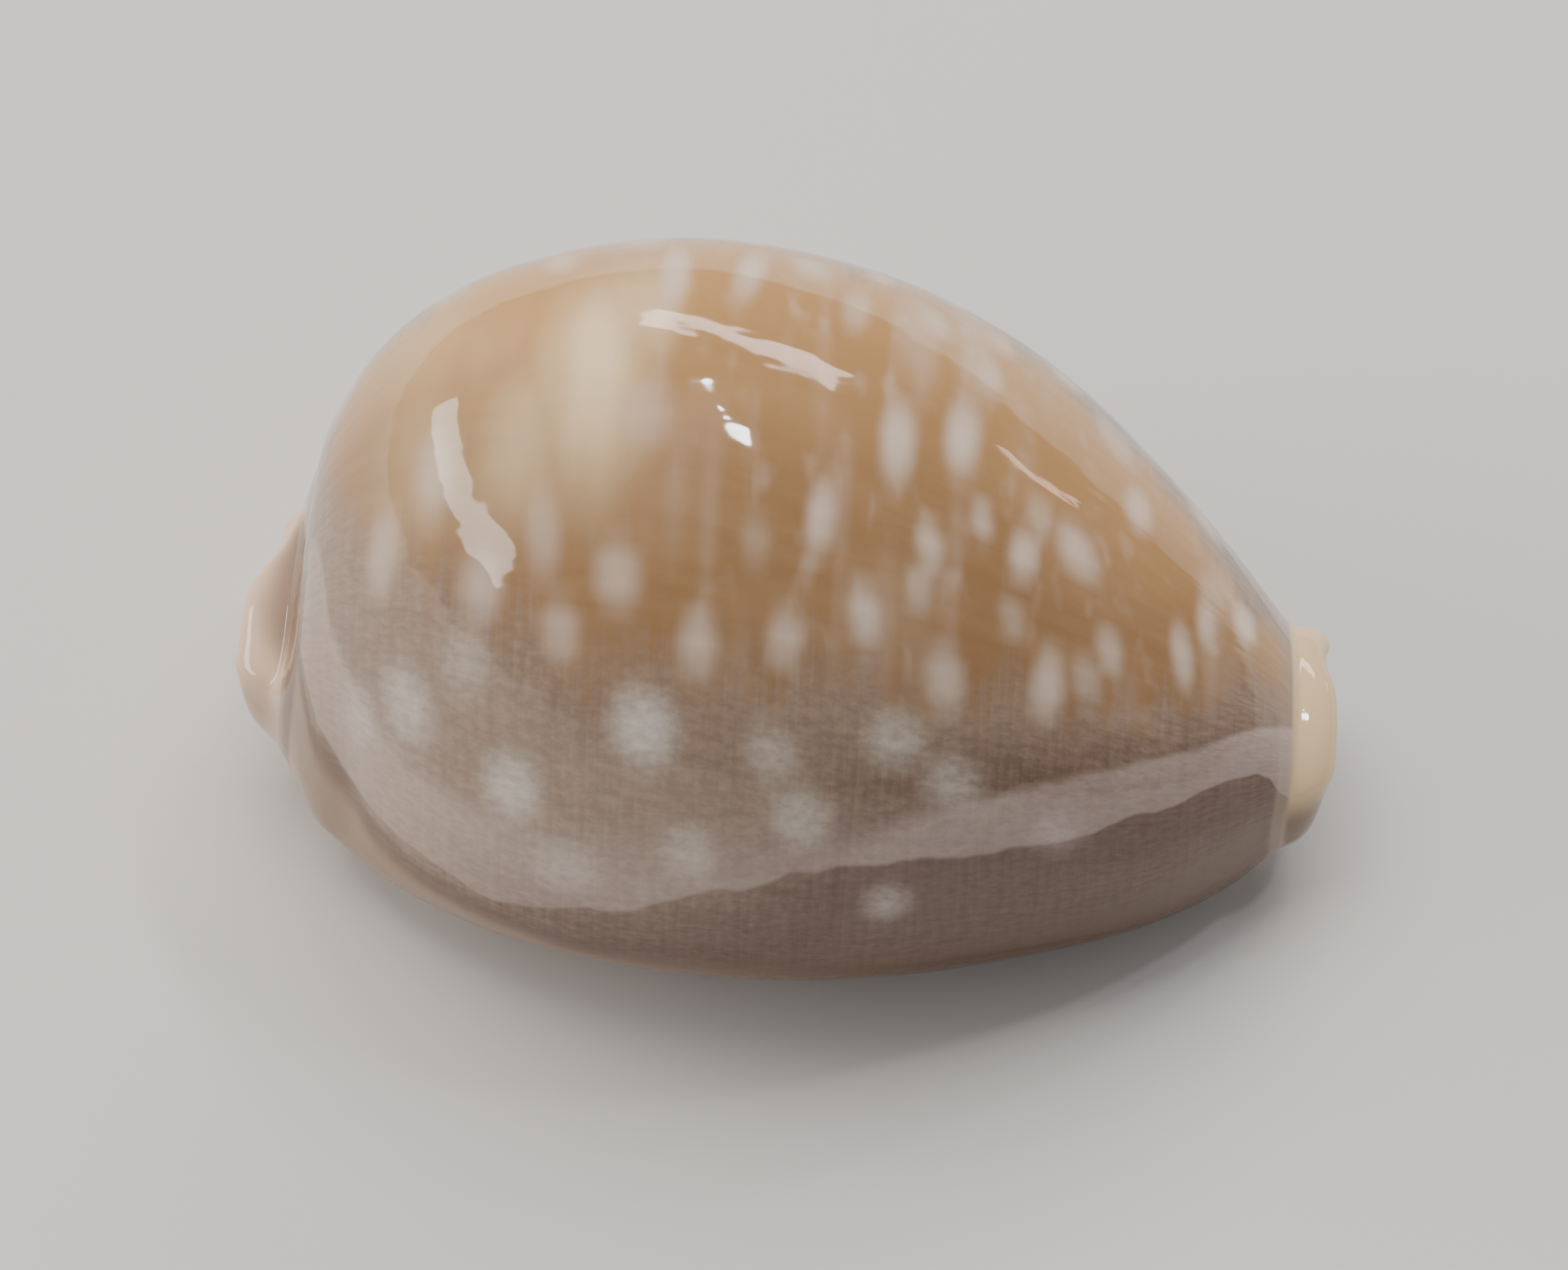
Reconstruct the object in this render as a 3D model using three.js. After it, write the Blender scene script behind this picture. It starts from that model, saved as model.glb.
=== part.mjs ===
// A deer cowrie shell: one hollow, glossy, egg-shaped shell with a toothed slit along its base.
// Millimetres, +Z up. The shell stands on its base with the back (dorsum) up, its narrow
// anterior end towards +X, its outer lip towards -Y and its columella towards +Y.
// The origin is at the centre of the bounding box, on the surface that the shell rests on.
//
// The wall is a ring of points carried along the shell. Seen along X, the ring is a thick C that
// is open downwards: outside of the outer lip, back, outside of the columella, the rounded
// columellar lip, the inside of the wall, and the rounded outer lip. The two lips leave the
// aperture between them, and each end of the C closes in a round collar with a canal in it.
import * as THREE from "three";

// Driving dimensions: the body without its end collars.
const BODY_HALF_LENGTH = 22.85;
const BODY_MIDDLE = -0.15; // along X, before the whole is centred
const DOME_RISE = 17.6; // from the widest level up to the back
const BODY_HALF_WIDTH = 16.55;
const FOOT_CUT = 0.6; // flattens the lowest part of the base, so that the shell rests on two flat spots

// Egg factors: each multiplies a half ellipse by 1 + a t + b t^2 + c t^3 + d t^4, where t is the
// place along the body, from -1 at the posterior end to 1 at the anterior end.
const DOME_EGG = [-0.485, 0.1, -0.085, 0.185];
const WIDTH_EGG = [-0.06, 0.015, -0.08];
const COLUMELLA_END_FULLNESS = 0.02;

const WIDEST_LEVEL = 9.4;

// The two ends. level is the height of the widest line there, middle the place of the mid line,
// and baseLift how far the base turns up. The next three are the half widths on each side and the
// rise of the roof where the collar begins. depth is how far the collar stands out beyond that,
// less in the canal's notch, low down and towards the columella. margin is the thickened edge
// between base and side that runs out of each collar.
const POSTERIOR = {
  sign: -1,
  level: 7.0,
  middle: 0.75,
  baseLift: 1.2,
  lipHalf: 5.2,
  columellaHalf: 6.1,
  roofRise: 2.7,
  depth: 2.4,
  depthLostBelow: 0.75,
  depthLostAtColumella: 0.63,
  notchAngle: THREE.MathUtils.degToRad(29),
  notchShare: 0.5,
  margin: 1.35,
  marginAngle: THREE.MathUtils.degToRad(128),
  marginFrom: 0.45,
};
const ANTERIOR = {
  sign: 1,
  level: 6.4,
  middle: -1.65,
  baseLift: 1.05,
  lipHalf: 5.65,
  columellaHalf: 5.15,
  roofRise: 3.05,
  depth: 1.85,
  depthLostBelow: 0.4,
  depthLostAtColumella: 0.08,
  notchAngle: THREE.MathUtils.degToRad(25),
  notchShare: 0.4,
  margin: 0.35,
  marginAngle: THREE.MathUtils.degToRad(124),
  marginFrom: 0.55,
};
// A high power keeps body and collar apart up to a short round valley.
const JOIN_POWER = 3;
const BASE_ARCH = 0.5; // lengthwise rise of the base from its middle to its ends

// Lower half of a section: powers under 1 make it squarer than an ellipse.
const BASE_SIDE_POWER = 0.78;
const BASE_FLOOR_POWER = 0.72;

// The margin's swelling, and the shallow valley that sets it off from the side.
const MARGIN_SPREAD = THREE.MathUtils.degToRad(22);
const COLUMELLA_MARGIN_SHARE = 0.6;
const VALLEY_SHARE = 0.25;
const VALLEY_ANGLE = THREE.MathUtils.degToRad(86);
const VALLEY_SPREAD = THREE.MathUtils.degToRad(13);

// Aperture: the slit between the lips.
const SLIT_OFFSET = -1.6; // towards the outer lip
const SLIT_POSTERIOR_TURN = 2.8; // towards the columella
const SLIT_ANTERIOR_TURN = 1.0;
const SLIT_HALF_WIDTH = 1.3;
const SLIT_ANTERIOR_WIDENING = 0.35;
const SLIT_END_WIDENING = 0.2;
const LIP_ROLL = 1.7; // how far a lip rolls towards the slit
const LIP_ROLL_AT_END = 0.25;
const LIP_THICKNESS = 4.2;
const LIP_THICKNESS_AT_END = 3.0;
const BASE_DIP = 1.0; // how far the base turns up into the slit
const BASE_DIP_WIDTH = 4.0;

// Inside of the wall.
const WALL_SIDE = 2.4;
const WALL_TOP = 1.9;
const WALL_END = 2.2;
const CANAL_HALF_WIDTH = 2.3;
const CANAL_ROOF_RISE = 0.9;

// Canal notch in each collar, towards the columella from the top.
const NOTCH_SPREAD = THREE.MathUtils.degToRad(12);

// Teeth: ridges across both lips.
const TEETH = 25;
const TEETH_END = 0.85; // t where the evenly spaced teeth stop
const TOOTH_HEIGHT = 0.75;
const TOOTH_VALLEY_SHARE = 0.4;
const LIP_TOOTH_REACH = 4.5; // onto the base, on the outer lip
const COLUMELLA_TOOTH_REACH = 3.0;
const COLUMELLA_TOOTH_SHIFT = 1 / 3; // of a tooth, so that the two rows don't face each other

// Spire: a shallow pit above the posterior collar.
const SPIRE_PIT = { depth: 0.9, radius: 1.9, y: 2.2, aboveLevel: 6.2, knob: 0.45 };

// Mesh density.
const RINGS_PER_TOOTH = 3;
const END_RINGS = 9;
const COLLAR_RINGS = 3;
const SIDE_ANGLES = [180, 171, 158, 141, 122, 103, 84, 63, 42, 21].map(THREE.MathUtils.degToRad);
const LIP_ANGLES = [45, 90, 135].map(THREE.MathUtils.degToRad);

const smooth = (x) => THREE.MathUtils.smoothstep(x, 0, 1);
const mix = THREE.MathUtils.lerp;
const egg = (factors, t) => factors.reduce((sum, f, i) => sum + f * t ** (i + 1), 1);
const endOf = (t) => (t < 0 ? POSTERIOR : ANTERIOR);
const bell = (x, middle, spread) => Math.exp(-(((x - middle) / spread) ** 2));
const join = (body, collar) => (body ** JOIN_POWER + collar ** JOIN_POWER) ** (1 / JOIN_POWER);

// Everything about the section at t that doesn't depend on the place around it.
function section(t) {
  const end = endOf(t);
  const far = Math.abs(t);
  const round = Math.sqrt(Math.max(0, 1 - t * t));
  const innerEnd = 1 - WALL_END / BODY_HALF_LENGTH;
  const innerRound = Math.sqrt(Math.max(0, 1 - (t / innerEnd) ** 2));
  const width = egg(WIDTH_EGG, t);
  const columellaWidth = width * (1 + COLUMELLA_END_FULLNESS * t * t);
  const dome = egg(DOME_EGG, t);
  const outwards = new THREE.Vector2(t * BODY_HALF_WIDTH, round * BODY_HALF_LENGTH).normalize();
  const middle = end.middle * smooth((far - 0.4) / 0.6);
  const slit =
    SLIT_OFFSET +
    SLIT_POSTERIOR_TURN * smooth((-t - 0.2) / 0.8) ** 1.3 +
    SLIT_ANTERIOR_TURN * smooth((t - 0.3) / 0.7);
  const roll = LIP_ROLL * (1 - far ** 8) + LIP_ROLL_AT_END;
  const halfSlit =
    SLIT_HALF_WIDTH +
    SLIT_ANTERIOR_WIDENING * smooth((t - 0.1) / 0.7) +
    SLIT_END_WIDENING * t * t;
  const outerSide = (factor, endHalf) => join(BODY_HALF_WIDTH * round * factor, endHalf * t * t);
  const innerSide = (factor) =>
    join((BODY_HALF_WIDTH - WALL_SIDE) * innerRound * factor, CANAL_HALF_WIDTH * t * t);
  return {
    t,
    end,
    x: BODY_MIDDLE + BODY_HALF_LENGTH * t,
    outwards,
    level: mix(WIDEST_LEVEL, end.level, smooth((far - 0.1) / 0.9)),
    base: BASE_ARCH * t * t + end.baseLift * smooth((far - 0.5) / 0.5),
    middle,
    innerMiddle: mix(middle, slit, t ** 4),
    slit,
    roll,
    halfSlit,
    dip: BASE_DIP * (1 - t ** 4),
    lipThickness: mix(LIP_THICKNESS, LIP_THICKNESS_AT_END, t * t),
    // Index 0 is the outer lip's side, index 1 the columella's.
    outerHalf: [outerSide(width, end.lipHalf), outerSide(columellaWidth, end.columellaHalf)],
    innerHalf: [innerSide(width), innerSide(columellaWidth)],
    outerRise: join(DOME_RISE * round * dome, end.roofRise * t * t),
    innerRise: join((DOME_RISE - WALL_TOP) * innerRound * dome, CANAL_ROOF_RISE * t * t),
    margin: end.margin * smooth((far - end.marginFrom) / (0.95 - end.marginFrom)),
  };
}

// y where the base ends and the rounded lip begins. side is -1 at the outer lip, 1 at the columella.
const lipEdge = (s, side) => s.slit + side * (s.halfSlit + s.roll);
const sideIndex = (side) => (side < 0 ? 0 : 1);

// Height of a tooth at t, from the valley's floor (negative) to the ridge (positive).
function tooth(t, side) {
  const shift = side < 0 ? 0 : COLUMELLA_TOOTH_SHIFT;
  const phase = ((t + TEETH_END) / (2 * TEETH_END)) * TEETH + shift;
  const reach = side < 0 ? 0.9 : 0.84;
  const fade = smooth((reach - Math.abs(t)) / 0.08);
  const ridge = 0.5 + 0.5 * Math.cos(2 * Math.PI * phase);
  return TOOTH_HEIGHT * fade * (ridge - TOOTH_VALLEY_SHARE);
}

// A point on the outside: angle runs from 0 at the top of the back to PI at the lip's edge.
function outside(s, side, angle) {
  const half = s.outerHalf[sideIndex(side)];
  const sine = Math.max(0, Math.sin(angle));
  const cosine = Math.abs(Math.cos(angle));
  let y = s.middle + side * half * sine;
  let z = s.level + s.outerRise * cosine;
  if (angle > Math.PI / 2) {
    const edge = lipEdge(s, side);
    y = mix(edge, s.middle + side * half, sine ** BASE_SIDE_POWER);
    z = mix(s.level, s.base, cosine ** BASE_FLOOR_POWER);
    const fromSlit = Math.abs(y - edge);
    const reach = side < 0 ? LIP_TOOTH_REACH : COLUMELLA_TOOTH_REACH;
    z += s.dip * (1 - smooth(fromSlit / BASE_DIP_WIDTH));
    z -= tooth(s.t, side) * (1 - smooth(fromSlit / reach));
  }
  const swelling =
    s.margin *
    (side < 0 ? 1 : COLUMELLA_MARGIN_SHARE) *
    (bell(angle, s.end.marginAngle, MARGIN_SPREAD) -
      VALLEY_SHARE * bell(angle, VALLEY_ANGLE, VALLEY_SPREAD));
  y += side * swelling * s.outwards.y;
  return [s.x + swelling * s.outwards.x + spirePit(s, y, z), y, z];
}

// The spire's pit pushes the posterior wall in, with a small knob left in its middle.
function spirePit(s, y, z) {
  if (s.t > 0) return 0;
  const across = y - SPIRE_PIT.y;
  const up = z - (POSTERIOR.level + SPIRE_PIT.aboveLevel);
  const r2 = (across * across + up * up) / SPIRE_PIT.radius ** 2;
  return SPIRE_PIT.depth * (Math.exp(-r2) - SPIRE_PIT.knob * Math.exp(-6 * r2));
}

// A point on the inside, by the same angle.
function inside(s, side, angle) {
  const half = s.innerHalf[sideIndex(side)];
  const sine = Math.max(0, Math.sin(angle));
  const cosine = Math.abs(Math.cos(angle));
  if (angle <= Math.PI / 2)
    return [s.x, s.innerMiddle + side * half * sine, s.level + s.innerRise * cosine];
  const floor = s.base + s.dip + s.lipThickness;
  return [
    s.x,
    mix(lipEdge(s, side), s.innerMiddle + side * half, sine ** BASE_SIDE_POWER),
    mix(s.level, floor, cosine ** BASE_FLOOR_POWER),
  ];
}

// A point on the rounded lip: angle runs from 0 at the base to PI inside.
function lip(s, side, angle) {
  const bump = tooth(s.t, side);
  const roll = s.roll + bump;
  const drop = bump * Math.cos(angle);
  return [
    s.x,
    lipEdge(s, side) - side * roll * Math.sin(angle),
    s.base + s.dip + (s.lipThickness / 2) * (1 - Math.cos(angle)) - drop,
  ];
}

// The places around the C, in order. partner is the place that meets this one through the wall.
const places = [];
for (const angle of SIDE_ANGLES) places.push({ on: outside, side: -1, angle });
places.push({ on: outside, side: -1, angle: 0 });
for (const angle of SIDE_ANGLES.toReversed()) places.push({ on: outside, side: 1, angle });
for (const angle of LIP_ANGLES) places.push({ on: lip, side: 1, angle });
for (const angle of SIDE_ANGLES) places.push({ on: inside, side: 1, angle });
places.push({ on: inside, side: -1, angle: 0 });
for (const angle of SIDE_ANGLES.toReversed()) places.push({ on: inside, side: -1, angle });
for (const angle of LIP_ANGLES.toReversed()) places.push({ on: lip, side: -1, angle });
const around = places.length;
const outerCount = 2 * SIDE_ANGLES.length + 1;
const partner = (i) => (2 * outerCount + LIP_ANGLES.length - 1 - i + around) % around;

// Rings of the body: close together at the round ends, and in step with the teeth between them.
function bodyStations() {
  const endAngle = Math.acos(TEETH_END);
  const steps = TEETH * RINGS_PER_TOOTH;
  const t = [];
  for (let i = 0; i < END_RINGS; i++) t.push(-Math.cos((endAngle * i) / END_RINGS));
  for (let i = 0; i <= steps; i++) t.push(mix(-TEETH_END, TEETH_END, i / steps));
  for (let i = END_RINGS - 1; i >= 0; i--) t.push(Math.cos((endAngle * i) / END_RINGS));
  return t;
}

// How far a collar stands out beyond the body: less in the canal's notch, low down and at the columella.
function collarDepth(end, place) {
  const signed = place.side * place.angle;
  const onLip = place.on === lip;
  const angle = onLip ? Math.PI : place.angle;
  const notch = onLip ? 0 : bell(signed, end.notchAngle, NOTCH_SPREAD);
  const low = smooth((angle - 1.22) / 1.75);
  const columella = place.side > 0 ? smooth(angle / 1.05) : 0;
  return (
    end.depth *
    (1 - end.notchShare * notch) *
    (1 - end.depthLostBelow * low) *
    (1 - end.depthLostAtColumella * columella)
  );
}

// A ring of a collar: the wall narrows to its own middle line as it turns a quarter round outwards.
function collarRing(end, turn) {
  const s = section(end.sign);
  const rim = places.map((p) => new THREE.Vector3(...p.on(s, p.side, p.angle)));
  return rim.map((point, i) => {
    const crest = point.clone().add(rim[partner(i)]).multiplyScalar(0.5);
    const depth = (collarDepth(end, places[i]) + collarDepth(end, places[partner(i)])) / 2;
    const at = crest.clone().lerp(point, Math.cos(turn));
    at.x += end.sign * depth * Math.sin(turn);
    return at;
  });
}

function shellGeometry() {
  const body = bodyStations().map((t) => {
    const s = section(t);
    return places.map((p) => new THREE.Vector3(...p.on(s, p.side, p.angle)));
  });
  const turns = Array.from({ length: COLLAR_RINGS }, (_, i) => ((i + 1) / COLLAR_RINGS) * (Math.PI / 2));
  const posterior = turns.toReversed().map((turn) => collarRing(POSTERIOR, turn));
  const anterior = turns.map((turn) => collarRing(ANTERIOR, turn));
  const rings = [...posterior, ...body, ...anterior];

  // The first and last rings are folded shut, so their partners share one vertex.
  const last = rings.length - 1;
  const folded = (ring) => ring === 0 || ring === last;
  const vertex = (ring, i) => ring * around + (folded(ring) ? Math.min(i, partner(i)) : i);
  const positions = rings.flat().flatMap((p) => [p.x, p.y, Math.max(p.z - FOOT_CUT, 0)]);
  const indices = [];
  const addTriangle = (a, b, c) => {
    if (a !== b && b !== c && c !== a) indices.push(a, b, c);
  };
  for (let ring = 0; ring < last; ring++) {
    for (let i = 0; i < around; i++) {
      const j = (i + 1) % around;
      const corners = [vertex(ring, i), vertex(ring + 1, i), vertex(ring + 1, j), vertex(ring, j)];
      addTriangle(corners[0], corners[1], corners[2]);
      addTriangle(corners[0], corners[2], corners[3]);
    }
  }
  const geometry = new THREE.BufferGeometry();
  geometry.setAttribute("position", new THREE.Float32BufferAttribute(positions, 3));
  geometry.setIndex(indices);
  return geometry;
}

// Puts the origin at the middle of the box in X and Y; the base already lies at z = 0.
function centred(geometry) {
  geometry.computeBoundingBox();
  const middle = geometry.boundingBox.getCenter(new THREE.Vector3());
  geometry.translate(-middle.x, -middle.y, 0);
  geometry.computeVertexNormals();
  return geometry;
}

const glossyShell = new THREE.MeshStandardMaterial({
  color: "#9a836d",
  roughness: 0.15,
  metalness: 0,
});

const cowrie = new THREE.Group();
const shell = new THREE.Mesh(centred(shellGeometry()), glossyShell);
shell.name = "shell";
cowrie.add(shell);

export default cowrie;
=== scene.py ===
"""Deer cowrie: a glossy sea shell on a pale floor, under soft studio light.

The shell is one closed surface, a function of two parameters: how far along the shell, and how far
round its wall. Seen along X, the wall is a thick C that is open downwards, and the two lips of the
C leave the toothed aperture between them. Lengths in the formulas are in millimetres, and the
finished mesh is scaled into the box that the frame gives for the shell, in metres.
"""

import bpy
import numpy as np
from bpy.props import FloatProperty, FloatVectorProperty, IntProperty, PointerProperty
from mathutils import Matrix, Vector


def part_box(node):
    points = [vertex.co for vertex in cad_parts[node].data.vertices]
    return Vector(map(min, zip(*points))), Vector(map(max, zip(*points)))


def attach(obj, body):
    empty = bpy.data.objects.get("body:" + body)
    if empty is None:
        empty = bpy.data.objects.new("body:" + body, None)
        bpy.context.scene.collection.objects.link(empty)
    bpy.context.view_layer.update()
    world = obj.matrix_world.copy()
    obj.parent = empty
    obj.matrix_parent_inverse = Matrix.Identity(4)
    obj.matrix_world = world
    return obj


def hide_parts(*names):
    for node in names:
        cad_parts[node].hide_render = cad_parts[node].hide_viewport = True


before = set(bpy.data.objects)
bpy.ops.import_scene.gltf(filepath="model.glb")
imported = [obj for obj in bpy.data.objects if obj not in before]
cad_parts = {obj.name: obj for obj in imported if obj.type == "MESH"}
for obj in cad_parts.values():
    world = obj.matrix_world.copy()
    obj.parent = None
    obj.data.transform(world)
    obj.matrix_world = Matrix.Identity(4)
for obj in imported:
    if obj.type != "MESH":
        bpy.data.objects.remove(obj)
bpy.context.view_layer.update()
BOX_LOW, BOX_HIGH = (np.array(corner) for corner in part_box("shell"))

bl_info = {
    "name": "Deer Cowrie",
    "version": (1, 0, 0),
    "blender": (4, 5, 0),
    "location": "View3D > Sidebar > Cowrie",
    "description": "Makes a deer cowrie shell with its floor, lights and camera",
    "category": "Add Mesh",
}

# Form of the shell, in millimetres. t runs along the body from -1, posterior, to 1, anterior.
BODY_HALF_LENGTH = 22.85
BODY_MIDDLE = -0.15
DOME_RISE = 17.6
BODY_HALF_WIDTH = 16.55
FOOT_CUT = 0.6
DOME_EGG = (-0.485, 0.1, -0.085, 0.185)
WIDTH_EGG = (-0.06, 0.015, -0.08)
COLUMELLA_END_FULLNESS = 0.02
WIDEST_LEVEL = 9.4
JOIN_POWER = 3
BASE_ARCH = 0.5
POSTERIOR = {
    "sign": -1.0,
    "level": 7.0,
    "middle": 0.75,
    "base_lift": 1.2,
    "lip_half": 5.2,
    "columella_half": 6.1,
    "roof_rise": 2.7,
    "depth": 2.4,
    "lost_below": 0.75,
    "lost_at_columella": 0.63,
    "notch": np.radians(29),
    "notch_share": 0.5,
    "margin": 1.35,
    "margin_angle": np.radians(128),
    "margin_from": 0.45,
}
ANTERIOR = {
    "sign": 1.0,
    "level": 6.4,
    "middle": -1.65,
    "base_lift": 1.05,
    "lip_half": 5.65,
    "columella_half": 5.15,
    "roof_rise": 3.05,
    "depth": 1.85,
    "lost_below": 0.4,
    "lost_at_columella": 0.08,
    "notch": np.radians(25),
    "notch_share": 0.4,
    "margin": 0.35,
    "margin_angle": np.radians(124),
    "margin_from": 0.55,
}
BASE_SIDE_POWER = 0.78
BASE_FLOOR_POWER = 0.72
MARGIN_SPREAD = np.radians(22)
END_MARGIN_SPREAD = np.radians(34)
END_MARGIN_TURN = np.radians(26)
COLUMELLA_MARGIN_SHARE = 0.6
VALLEY_SHARE = 0.25
VALLEY_ANGLE = np.radians(86)
VALLEY_SPREAD = np.radians(13)
SLIT_OFFSET = -1.6
SLIT_POSTERIOR_TURN = 2.8
SLIT_ANTERIOR_TURN = 1.0
SLIT_HALF_WIDTH = 1.3
SLIT_ANTERIOR_WIDENING = 0.35
SLIT_END_WIDENING = 0.2
LIP_ROLL = 1.7
LIP_ROLL_AT_END = 0.25
LIP_THICKNESS = 4.2
LIP_THICKNESS_AT_END = 3.0
BASE_DIP = 1.0
BASE_DIP_WIDTH = 4.0
WALL_SIDE = 2.4
WALL_TOP = 1.9
WALL_END = 2.2
CANAL_HALF_WIDTH = 2.3
CANAL_ROOF_RISE = 0.9
NOTCH_SPREAD = np.radians(12)
TEETH_END = 0.85
TEETH_REACH = {-1: 0.9, 1: 0.84}
TEETH_FADE = 0.08
TOOTH_HEIGHT = 0.75
TOOTH_SHARPNESS = 1.2
TOOTH_VALLEY_SHARE = 0.4
LIP_TOOTH_REACH = 4.5
COLUMELLA_TOOTH_REACH = 3.0
COLUMELLA_TOOTH_SHIFT = 1 / 3
INSIDE_TOOTH_REACH = 2.5
SPIRE_PIT = {"depth": 0.9, "radius": 1.9, "y": 2.2, "above_level": 6.2}
SPIRE_KNOB = {"share": 0.45, "narrowing": 6}

# Ranges of |t| over which a value turns smoothly from the body's to the end's.
LEVEL_TURNS = (0.1, 1.0)
BASE_LIFTS = (0.5, 1.0)
MIDDLE_SHIFTS = (0.4, 1.0)
MARGIN_FULL_FROM = 0.95
SLIT_POSTERIOR_TURNS = (0.2, 1.0)
SLIT_POSTERIOR_BEND = 1.3
SLIT_ANTERIOR_TURNS = (0.3, 1.0)
SLIT_WIDENS = (0.1, 0.8)
LIP_ROLL_POWER = 8
END_MARGIN_TURNS = (0.84, 0.95)
VALLEY_FADES = (0.85, 0.97)
COLLAR_STARTS = (0.94, 1.0)
COLLAR_START_SHARE = 0.7

# Angles from the top of the back, in radians, over which the collars lose their depth.
COLLAR_LOST_BELOW = (1.5, 3.0)
COLLAR_LOST_AT_COLUMELLA = (0.0, 1.05)

# Where the surface is softened, in shares of the way down the wall, |t| or degrees from the top,
# and how many passes each pass of the settings stands for.
WALL_SOFTENED = (1.0, 0.88)
END_SOFTENED = (0.93, 1.0)
LOW_END_SOFTENED = (0.88, 0.98)
LOW_END_DEGREES = (58, 92)
END_ROUND_PASSES = 4
LOW_END_PASSES = 7

# Milky spots that the photographed side shows: place along X in millimetres, angle round the
# shell from the top of the back in degrees (negative towards the outer lip), half length along
# and half length round in millimetres, and strength.
DORSAL_SPOTS = (
    (3.7, -4, 0.7, 2.0, 0.9),
    (6.5, 2, 0.7, 1.9, 0.9),
    (0.6, -20, 0.6, 1.5, 0.75),
    (5.3, -20, 0.6, 1.0, 0.7),
    (7.5, -12, 0.5, 0.9, 0.6),
    (9.4, -15, 0.6, 1.2, 0.8),
    (11.8, -9, 0.9, 1.2, 0.85),
    (14.7, 13, 0.6, 1.5, 0.75),
    (19.8, 5, 0.5, 1.0, 0.95),
    (-2.1, -26, 0.6, 1.0, 0.3),
    (-7.8, -34, 0.9, 1.2, 0.6),
    (-11.0, -29, 0.7, 1.6, 0.45),
    (-10.1, -43, 0.8, 1.0, 0.55),
    (-4.3, -42, 0.8, 1.2, 0.6),
    (-0.7, -39, 0.7, 1.1, 0.65),
    (-6.2, 22, 0.6, 2.6, 0.8),
    (-3.0, 25, 0.6, 2.6, 0.8),
    (1.7, 22, 0.6, 1.7, 0.6),
    (7.7, 20, 0.6, 1.4, 0.6),
    (10.7, -37, 0.7, 1.6, 0.75),
    (13.4, -26, 0.6, 1.1, 0.6),
    (16.8, -19, 0.5, 1.5, 0.7),
    (17.9, -6, 0.45, 1.2, 0.6),
    (2.6, -33, 0.7, 1.2, 0.7),
    (6.2, -40, 0.8, 1.3, 0.6),
    (-15.9, -20, 0.8, 1.6, 0.6),
    (-13.6, -38, 0.9, 1.2, 0.6),
    (-18.0, -34, 0.7, 1.4, 0.5),
    (-7.0, -10, 1.2, 1.3, 0.35),
    (4.9, -27, 0.6, 0.8, 0.5),
    (10.1, -6, 0.6, 1.0, 0.5),
    (12.4, -33, 0.7, 1.0, 0.45),
    (9.0, -27, 0.6, 0.9, 0.4),
)
SIDE_SPOTS = (
    (-16.8, -60, 1.1, 1.3, 0.7),
    (-12.0, -68, 1.2, 1.3, 0.8),
    (-6.4, -55, 1.3, 1.4, 1.0),
    (0.4, -66, 1.2, 1.3, 0.6),
    (-1.0, -56, 1.1, 1.2, 0.5),
    (4.2, -51, 1.2, 1.2, 0.6),
    (6.7, -57, 1.2, 1.2, 0.55),
    (-4.3, -74, 1.2, 1.2, 0.55),
    (-9.6, -80, 1.3, 1.2, 0.5),
    (4.3, -82, 1.0, 1.1, 0.5),
    (-19.0, -67, 0.8, 1.2, 0.5),
    (11.5, -66, 1.2, 1.1, 0.35),
    (-14.2, -50, 1.1, 1.2, 0.35),
)
STRAW_PATCHES = (
    (-9.4, -3, 2.0, 5.0, 1.0),
    (-7.6, 12, 1.6, 3.2, 0.6),
    (-12.0, -15, 2.4, 3.2, 0.4),
    (-16.5, -17, 2.4, 4.0, 0.3),
    (-16.0, 6, 3.0, 4.0, 0.25),
)
FAR_SPOTS = 46
FAR_SPOT_STEP = 0.618034
FAR_SPOT_ALONG = (-20, 20)
FAR_SPOT_JITTER = 0.8
FAR_SPOT_DEGREES = (26, 96)
FAR_SPOT_SIZE = (0.55, 0.95)
FAR_SPOT_STRENGTH = (0.4, 0.75)
TALL_SPOTS_ABOVE = 55
TALL_SPOT = 1.9
SPOT_LEAN = 0.12
SPOT_EDGE = (0.2, 1.65)
SPOT_RADIUS_FLOOR = 0.05

# Lines between the coloured zones: place along X in millimetres, and degrees down from the top.
SIDE_LINE = (
    (-22.6, -20),
    (-21.4, 2),
    (-20.0, 26),
    (-16.0, 33),
    (-13.0, 44),
    (-9.0, 49),
    (-5.5, 46),
    (3.8, 42),
    (8.6, 41),
    (13.5, 38),
    (16.8, 30),
    (20.3, 16),
)
MARGIN_LINE = (
    (-23.0, 30),
    (-22.6, 45),
    (-21.5, 80),
    (-19.6, 89),
    (-18.6, 95),
    (-16.4, 99),
    (-8.2, 104),
    (3.0, 101),
    (8.6, 95),
    (12.9, 90),
    (16.5, 86),
    (18.8, 80),
    (21.3, 74),
    (22.4, 68),
    (23.5, 40),
)
# Top and foot of the pale band painted on the sides as a reflection of the floor.
REFLECTION_TOP = (
    (-22.6, 26),
    (-21.8, 20),
    (-21.1, 28),
    (-20.5, 48),
    (-18.8, 64),
    (-16.6, 70),
    (-13.5, 73),
    (-6.0, 73),
    (2.6, 67),
    (8.2, 60),
    (13.3, 51),
    (17.8, 42),
    (21.5, 29),
    (23.5, 20),
)
REFLECTION_FOOT = (
    (-22.3, 50),
    (-21.9, 60),
    (-21.3, 75),
    (-20.0, 84),
    (-18.5, 89),
    (-12.9, 93),
    (-8.3, 88),
    (0.2, 76),
    (8.5, 71),
    (11.2, 69),
    (13.9, 64),
    (16.8, 58),
    (20.6, 50),
    (21.3, 54),
    (21.8, 63),
    (22.6, 70),
    (23.5, 66),
)
LINE_UNIT = 10
SEED = 7


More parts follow.
